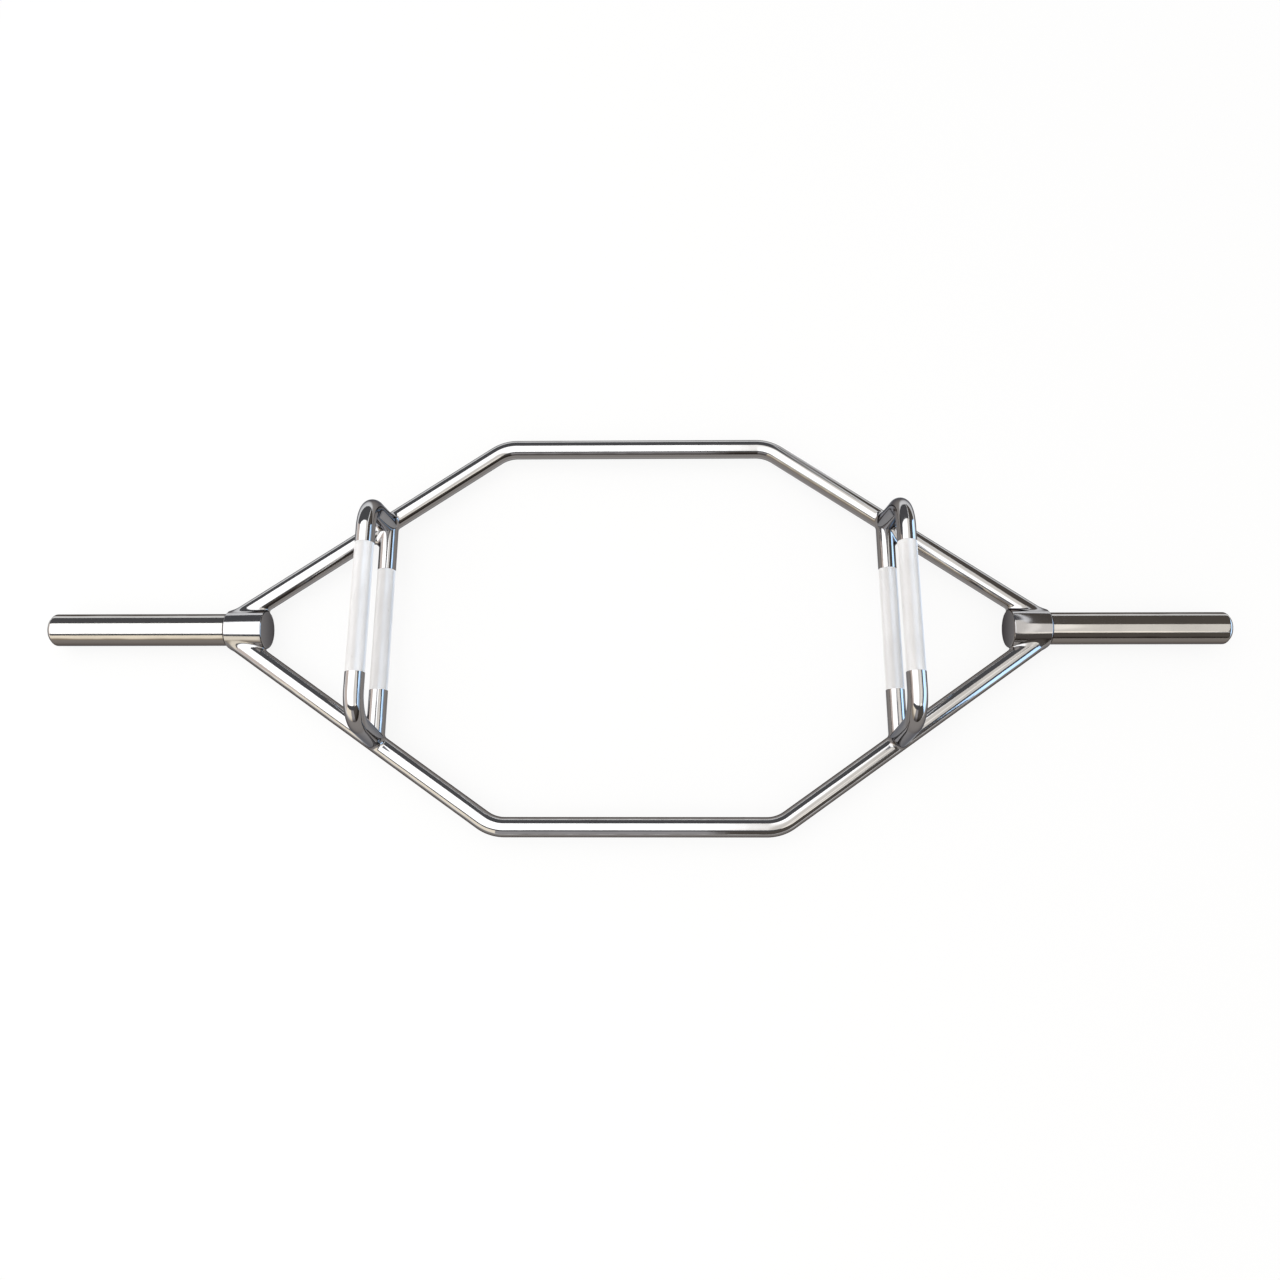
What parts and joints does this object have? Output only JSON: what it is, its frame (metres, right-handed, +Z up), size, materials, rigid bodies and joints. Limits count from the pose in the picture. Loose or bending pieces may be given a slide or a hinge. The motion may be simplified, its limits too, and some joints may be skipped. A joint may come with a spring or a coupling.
{
  "type": "hex trap bar",
  "caption": "Chromed hexagonal trap bar: bent and welded tube frame with knurled low and raised handles at each side and a plain loading sleeve at each end.",
  "frame": {"origin": "on the floor under the middle of the hexagon; the bar lies on its collars, with the sleeves' axis 30 mm up", "axes": "+X along the sleeves to the right, +Y to the rear, +Z up"},
  "size_m": [1.831, 0.64, 0.1712],
  "materials": {
    "frame_chrome": "bright plated",
    "collar_chrome": "plated over turned steel",
    "sleeve_chrome": "bright plated over ground steel",
    "handle_chrome": "bright plated, knurled along the grips",
    "weld_chrome": "dressed and plated"
  },
  "bodies": {
    "root": {"front_frame_tube": "frame_chrome", "rear_frame_tube": "frame_chrome", "left_collar": "collar_chrome", "left_sleeve": "sleeve_chrome", "left_sleeve_plug": "sleeve_chrome", "left_low_handle": "handle_chrome", "left_raised_handle": "handle_chrome", "left_handle_welds": "weld_chrome", "right_collar": "collar_chrome", "right_sleeve": "sleeve_chrome", "right_sleeve_plug": "sleeve_chrome", "right_low_handle": "handle_chrome", "right_raised_handle": "handle_chrome", "right_handle_welds": "weld_chrome", "collar_welds": "weld_chrome"}
  },
  "joints": []
}
